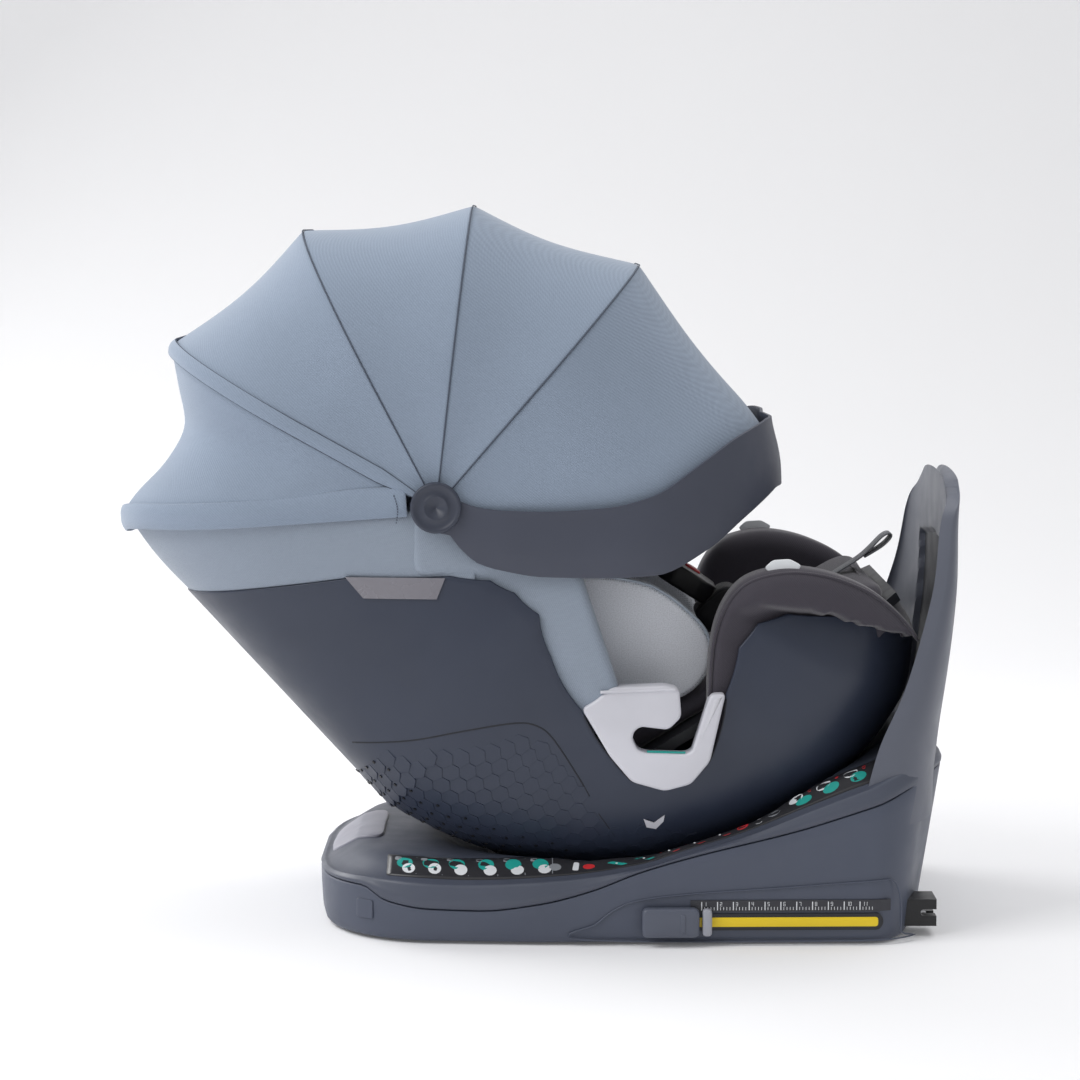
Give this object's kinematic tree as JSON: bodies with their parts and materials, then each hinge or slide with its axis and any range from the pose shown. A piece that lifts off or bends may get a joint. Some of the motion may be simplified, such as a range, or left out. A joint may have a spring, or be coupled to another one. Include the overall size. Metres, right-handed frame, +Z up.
{
  "type": "convertible car seat",
  "caption": "Child car seat: swivelling, reclining shell with cushions, harness buckle and folding hood, on an anchored base with a rebound bar.",
  "frame": {"origin": "where the swivel axis meets the floor that the base stands on", "axes": "+Z up, +X from the head end to the base's anchor end, +Y across the seat"},
  "size_m": [0.8133, 0.446, 0.702],
  "materials": {
    "base_plastic": "fine-grained moulded plastic",
    "base_cover_plastic": "fine-grained moulded plastic",
    "steel": "bare steel",
    "rubber": "matt",
    "yellow": "bright",
    "label": "printed foil",
    "silver_plastic": "satin",
    "light_plastic": "satin",
    "dark_plastic": "fine-grained",
    "shell_plastic": "fine-grained moulded plastic",
    "visor_plastic": "fine-grained moulded plastic",
    "teal": "bright",
    "grey_fabric": "heathered knit",
    "seat_fabric": "soft knit",
    "insert_fabric": "perforated knit",
    "webbing": "woven",
    "loop_webbing": "woven",
    "red": "bright",
    "badge": "satin"
  },
  "bodies": {
    "base": {"base_tray": "base_plastic", "base_cover": "base_cover_plastic", "base_frame": "steel", "bearing_ring": "steel", "rubber_feet": "rubber", "base_screws": "steel", "slot_strips": "yellow", "rulers": "label", "plugs": "base_plastic", "label_strips": "label", "rebound_bar": "base_cover_plastic", "bar_inset": "dark_plastic"},
    "swivel_pad": {"swivel_button": "silver_plastic"},
    "lock": {"lock_pin": "steel"},
    "turntable": {"turntable": "dark_plastic", "recline_rails": "steel", "hub_nut": "steel"},
    "seat": {"seat_shell": "shell_plastic", "recline_carriage": "dark_plastic", "seat_bucket": "dark_plastic", "belt_guides": "light_plastic", "belt_lines": "teal", "side_plates": "badge", "recline_pointers": "light_plastic", "wing_covers": "grey_fabric", "thigh_bolsters": "seat_fabric", "seat_cushion": "seat_fabric", "backrest_cushion": "insert_fabric", "infant_insert": "insert_fabric", "shoulder_straps": "webbing", "shoulder_pads": "grey_fabric", "buckle_body": "dark_plastic", "buckle_tongues": "steel", "crotch_pad": "webbing", "adjuster_strap": "loop_webbing", "hood_brackets": "dark_plastic", "rear_bow": "grey_fabric", "hub_caps": "visor_plastic", "hood_panel_1": "grey_fabric"},
    "buckle_press": {"buckle_button": "red"},
    "adjuster_press": {"adjuster_button": "base_plastic"},
    "recline_handle": {"recline_lever": "silver_plastic"},
    "headrest": {"headrest_shell": "dark_plastic", "headrest_cushion": "grey_fabric"},
    "headrest_handle": {"headrest_lever": "silver_plastic"},
    "hood_bow_1": {"bow_1": "dark_plastic", "hood_panel_2": "grey_fabric"},
    "hood_bow_2": {"bow_2": "dark_plastic", "hood_panel_3": "grey_fabric"},
    "hood_bow_3": {"bow_3": "dark_plastic", "hood_panel_4": "grey_fabric"},
    "hood_bow_4": {"bow_4": "dark_plastic", "hood_panel_5": "grey_fabric"},
    "hood_visor": {"visor": "visor_plastic"},
    "anchor_slider": {"anchor_arms": "steel", "arm_housings": "dark_plastic", "slider_knobs": "base_plastic"},
    "slider_press": {"knob_buttons": "silver_plastic"},
    "hooks": {"anchor_hooks": "steel"},
    "hook_slides": {"hook_releases": "silver_plastic"}
  },
  "joints": [
    {"name": "swivel", "type": "hinge", "parent": "base", "child": "turntable", "pos_m": [0, 0, 0], "axis": [0, 0, 1], "range_deg": [-90, 90]},
    {"name": "recline", "type": "hinge", "parent": "turntable", "child": "seat", "pos_m": [0, 0, 0.3857], "axis": [0, 1, 0], "range_deg": [-12, 12]},
    {"name": "swivel_release", "type": "slide", "parent": "base", "child": "swivel_pad", "axis": [0, 0, -1], "range_m": [0, 0.002], "stiffness_N_per_m": 1500},
    {"name": "lock_lift", "type": "slide", "parent": "base", "child": "lock", "axis": [0, 0, 1], "range_m": [0, 0.008]},
    {"name": "buckle_release", "type": "slide", "parent": "seat", "child": "buckle_press", "axis": [-0.5299, 0, -0.848], "range_m": [0, 0.0035], "stiffness_N_per_m": 1500},
    {"name": "harness_release", "type": "slide", "parent": "seat", "child": "adjuster_press", "axis": [0.5225, 0, -0.8526], "range_m": [0, 0.003], "stiffness_N_per_m": 1500},
    {"name": "recline_release", "type": "hinge", "parent": "seat", "child": "recline_handle", "pos_m": [0.20449, 0, 0.2551], "axis": [0, -1, 0], "range_deg": [0, 4], "stiffness_Nm_per_rad": 1.2},
    {"name": "headrest_height", "type": "slide", "parent": "seat", "child": "headrest", "axis": [-0.8763, 0, 0.4818], "range_m": [0, 0.06]},
    {"name": "headrest_release", "type": "slide", "parent": "headrest", "child": "headrest_handle", "axis": [-0.8763, 0, 0.4818], "range_m": [0, 0.004], "stiffness_N_per_m": 1200},
    {"name": "bow_1_fold", "type": "hinge", "parent": "seat", "child": "hood_bow_1", "pos_m": [-0.155, 0, 0.4187], "axis": [0, -1, 0], "range_deg": [0, 17], "deforming": ["hood_panel_1"]},
    {"name": "bow_2_fold", "type": "hinge", "parent": "hood_bow_1", "child": "hood_bow_2", "pos_m": [-0.155, 0, 0.4187], "axis": [0, -1, 0], "range_deg": [0, 27], "deforming": ["hood_panel_2"]},
    {"name": "bow_3_fold", "type": "hinge", "parent": "hood_bow_2", "child": "hood_bow_3", "pos_m": [-0.155, 0, 0.4187], "axis": [0, -1, 0], "range_deg": [0, 27], "deforming": ["hood_panel_3"]},
    {"name": "bow_4_fold", "type": "hinge", "parent": "hood_bow_3", "child": "hood_bow_4", "pos_m": [-0.155, 0, 0.4187], "axis": [0, -1, 0], "range_deg": [0, 27], "deforming": ["hood_panel_4"]},
    {"name": "visor_fold", "type": "hinge", "parent": "hood_bow_4", "child": "hood_visor", "pos_m": [-0.155, 0, 0.4187], "axis": [0, -1, 0], "range_deg": [0, 24], "deforming": ["hood_panel_5"]},
    {"name": "anchor_slide", "type": "slide", "parent": "base", "child": "anchor_slider", "axis": [1, 0, 0], "range_m": [0, 0.165]},
    {"name": "slider_release", "type": "slide", "parent": "anchor_slider", "child": "slider_press", "axis": [-1, 0, 0], "range_m": [0, 0.0025], "stiffness_N_per_m": 1500},
    {"name": "hook_turn", "type": "hinge", "parent": "anchor_slider", "child": "hooks", "pos_m": [0.298, 0, 0.023], "axis": [0, 1, 0], "range_deg": [0, 16]},
    {"name": "hook_release", "type": "slide", "parent": "anchor_slider", "child": "hook_slides", "axis": [1, 0, 0], "range_m": [0, 0.008], "stiffness_N_per_m": 600}
  ],
  "couplings": [
    {"joint": "bow_2_fold", "follows": "bow_1_fold", "ratio": 1.585},
    {"joint": "bow_3_fold", "follows": "bow_1_fold", "ratio": 1.585},
    {"joint": "bow_4_fold", "follows": "bow_1_fold", "ratio": 1.585},
    {"joint": "visor_fold", "follows": "bow_1_fold", "ratio": 1.409},
    {"joint": "hook_turn", "follows": "hook_release", "rad_per_m": 34}
  ]
}
